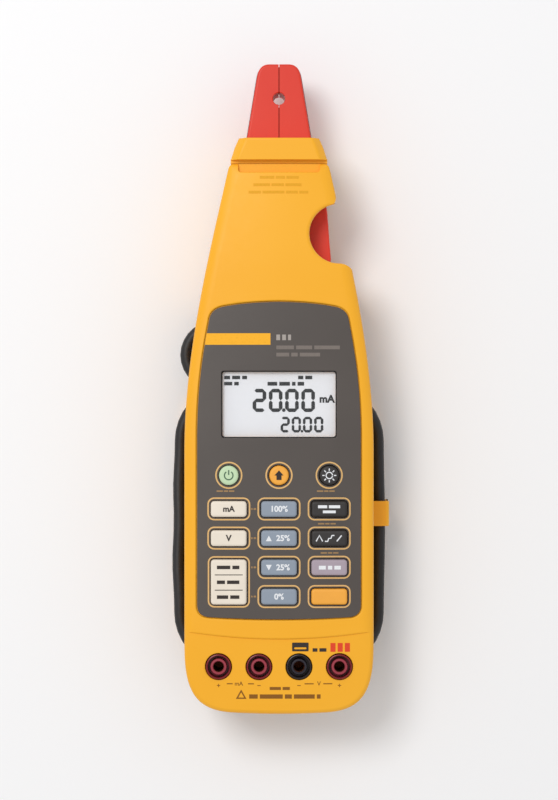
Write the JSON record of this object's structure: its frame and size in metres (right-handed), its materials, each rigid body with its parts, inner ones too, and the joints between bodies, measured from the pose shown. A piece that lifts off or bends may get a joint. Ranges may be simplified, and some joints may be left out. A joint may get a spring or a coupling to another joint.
{
  "type": "clamp meter",
  "caption": "Process clamp meter with a keypad, display and banana sockets, and a docked clamp probe with a swinging jaw on a lead wound round the case.",
  "frame": {"origin": "on the rear rest face, on the meter's plane of symmetry, level with the keypad display", "axes": "+X to the right seen from the front, +Y towards the jaws, +Z out of the front face"},
  "size_m": [0.0826, 0.246, 0.0436],
  "materials": {
    "case_yellow": "fine satin moulded texture, smooth rims",
    "screw_steel": "turned steel",
    "panel_grey": "satin printed overlay",
    "lens_clear": "polished clear plastic",
    "lcd_grey": "grey-white liquid crystal glass",
    "backlight_white": "milky light guide",
    "board_green": "solder resist on glass epoxy",
    "mat_silicone": "moulded silicone",
    "key_green": "matte keypad rubber",
    "key_amber": "matte keypad rubber",
    "key_black": "matte keypad rubber",
    "key_cream": "matte keypad rubber",
    "key_slate": "matte keypad rubber",
    "key_mauve": "matte keypad rubber",
    "jack_red": "moulded insulator",
    "jack_black": "moulded insulator",
    "contact_brass": "turned and plated",
    "cell_wrap": "printed film over a steel can",
    "jaw_red": "satin moulded plastic",
    "core_steel": "stacked laminations",
    "sensor_black": "moulded chip package",
    "lead_black": "soft cable sheath"
  },
  "bodies": {
    "meter": {"front_case": "case_yellow", "rear_case": "case_yellow", "battery_door": "case_yellow", "battery_door_screw_top": "screw_steel", "battery_door_screw_bottom": "screw_steel", "case_screw_1": "screw_steel", "case_screw_2": "screw_steel", "case_screw_3": "screw_steel", "case_screw_4": "screw_steel", "keypad_panel": "panel_grey", "display_lens": "lens_clear", "lcd_module": "lcd_grey", "lcd_backlight": "backlight_white", "main_board": "board_green", "keypad_mat": "mat_silicone", "jack_housing_1": "jack_red", "jack_sleeve_1": "contact_brass", "jack_housing_2": "jack_red", "jack_sleeve_2": "contact_brass", "jack_housing_3": "jack_black", "jack_sleeve_3": "contact_brass", "jack_housing_4": "jack_red", "jack_sleeve_4": "contact_brass", "battery_cell_1": "cell_wrap", "battery_cell_2": "cell_wrap", "battery_cell_3": "cell_wrap", "battery_cell_4": "cell_wrap", "battery_contact_left": "screw_steel", "battery_contact_right": "screw_steel", "probe_front_shell": "case_yellow", "probe_rear_shell": "case_yellow", "fixed_jaw": "jaw_red", "fixed_core_upper": "core_steel", "fixed_core_lower": "core_steel", "hall_sensor": "sensor_black", "jaw_pivot_pin": "screw_steel", "jaw_spring": "screw_steel", "probe_board": "board_green", "lead": "lead_black", "probe_strain_relief": "lead_black", "lead_grommet": "lead_black", "cable_retainer": "case_yellow"},
    "jaw_lever": {"moving_jaw": "jaw_red", "moving_core": "core_steel"},
    "key_power_cap": {"key_power": "key_green"},
    "key_function_cap": {"key_function": "key_amber"},
    "key_backlight_cap": {"key_backlight": "key_black"},
    "key_measure_cap": {"key_measure": "key_cream"},
    "key_source_cap": {"key_source": "key_cream"},
    "key_loop_cap": {"key_loop": "key_cream"},
    "key_percent_100_cap": {"key_percent_100": "key_slate"},
    "key_step_up_cap": {"key_step_up": "key_slate"},
    "key_step_down_cap": {"key_step_down": "key_slate"},
    "key_percent_0_cap": {"key_percent_0": "key_slate"},
    "key_span_cap": {"key_span": "key_black"},
    "key_ramp_cap": {"key_ramp": "key_black"},
    "key_setup_cap": {"key_setup": "key_mauve"},
    "key_blank_cap": {"key_blank": "key_amber"}
  },
  "joints": [
    {"name": "jaw_hinge", "type": "hinge", "parent": "meter", "child": "jaw_lever", "pos_m": [0.006, 0.086, 0.022], "axis": [0, 0, -1], "range_deg": [0, 7], "stiffness_Nm_per_rad": 1.8, "springref_deg": -6.3, "deforming": ["jaw_spring"]},
    {"name": "key_power_press", "type": "slide", "parent": "meter", "child": "key_power_cap", "axis": [0, 0, -1], "range_m": [0, 0.0008], "stiffness_N_per_m": 900, "springref_m": -0.0006},
    {"name": "key_function_press", "type": "slide", "parent": "meter", "child": "key_function_cap", "axis": [0, 0, -1], "range_m": [0, 0.0008], "stiffness_N_per_m": 900, "springref_m": -0.0006},
    {"name": "key_backlight_press", "type": "slide", "parent": "meter", "child": "key_backlight_cap", "axis": [0, 0, -1], "range_m": [0, 0.0008], "stiffness_N_per_m": 900, "springref_m": -0.0006},
    {"name": "key_measure_press", "type": "slide", "parent": "meter", "child": "key_measure_cap", "axis": [0, 0, -1], "range_m": [0, 0.0008], "stiffness_N_per_m": 900, "springref_m": -0.0006},
    {"name": "key_source_press", "type": "slide", "parent": "meter", "child": "key_source_cap", "axis": [0, 0, -1], "range_m": [0, 0.0008], "stiffness_N_per_m": 900, "springref_m": -0.0006},
    {"name": "key_loop_press", "type": "slide", "parent": "meter", "child": "key_loop_cap", "axis": [0, 0, -1], "range_m": [0, 0.0008], "stiffness_N_per_m": 900, "springref_m": -0.0006},
    {"name": "key_percent_100_press", "type": "slide", "parent": "meter", "child": "key_percent_100_cap", "axis": [0, 0, -1], "range_m": [0, 0.0008], "stiffness_N_per_m": 900, "springref_m": -0.0006},
    {"name": "key_step_up_press", "type": "slide", "parent": "meter", "child": "key_step_up_cap", "axis": [0, 0, -1], "range_m": [0, 0.0008], "stiffness_N_per_m": 900, "springref_m": -0.0006},
    {"name": "key_step_down_press", "type": "slide", "parent": "meter", "child": "key_step_down_cap", "axis": [0, 0, -1], "range_m": [0, 0.0008], "stiffness_N_per_m": 900, "springref_m": -0.0006},
    {"name": "key_percent_0_press", "type": "slide", "parent": "meter", "child": "key_percent_0_cap", "axis": [0, 0, -1], "range_m": [0, 0.0008], "stiffness_N_per_m": 900, "springref_m": -0.0006},
    {"name": "key_span_press", "type": "slide", "parent": "meter", "child": "key_span_cap", "axis": [0, 0, -1], "range_m": [0, 0.0008], "stiffness_N_per_m": 900, "springref_m": -0.0006},
    {"name": "key_ramp_press", "type": "slide", "parent": "meter", "child": "key_ramp_cap", "axis": [0, 0, -1], "range_m": [0, 0.0008], "stiffness_N_per_m": 900, "springref_m": -0.0006},
    {"name": "key_setup_press", "type": "slide", "parent": "meter", "child": "key_setup_cap", "axis": [0, 0, -1], "range_m": [0, 0.0008], "stiffness_N_per_m": 900, "springref_m": -0.0006},
    {"name": "key_blank_press", "type": "slide", "parent": "meter", "child": "key_blank_cap", "axis": [0, 0, -1], "range_m": [0, 0.0008], "stiffness_N_per_m": 900, "springref_m": -0.0006}
  ]
}
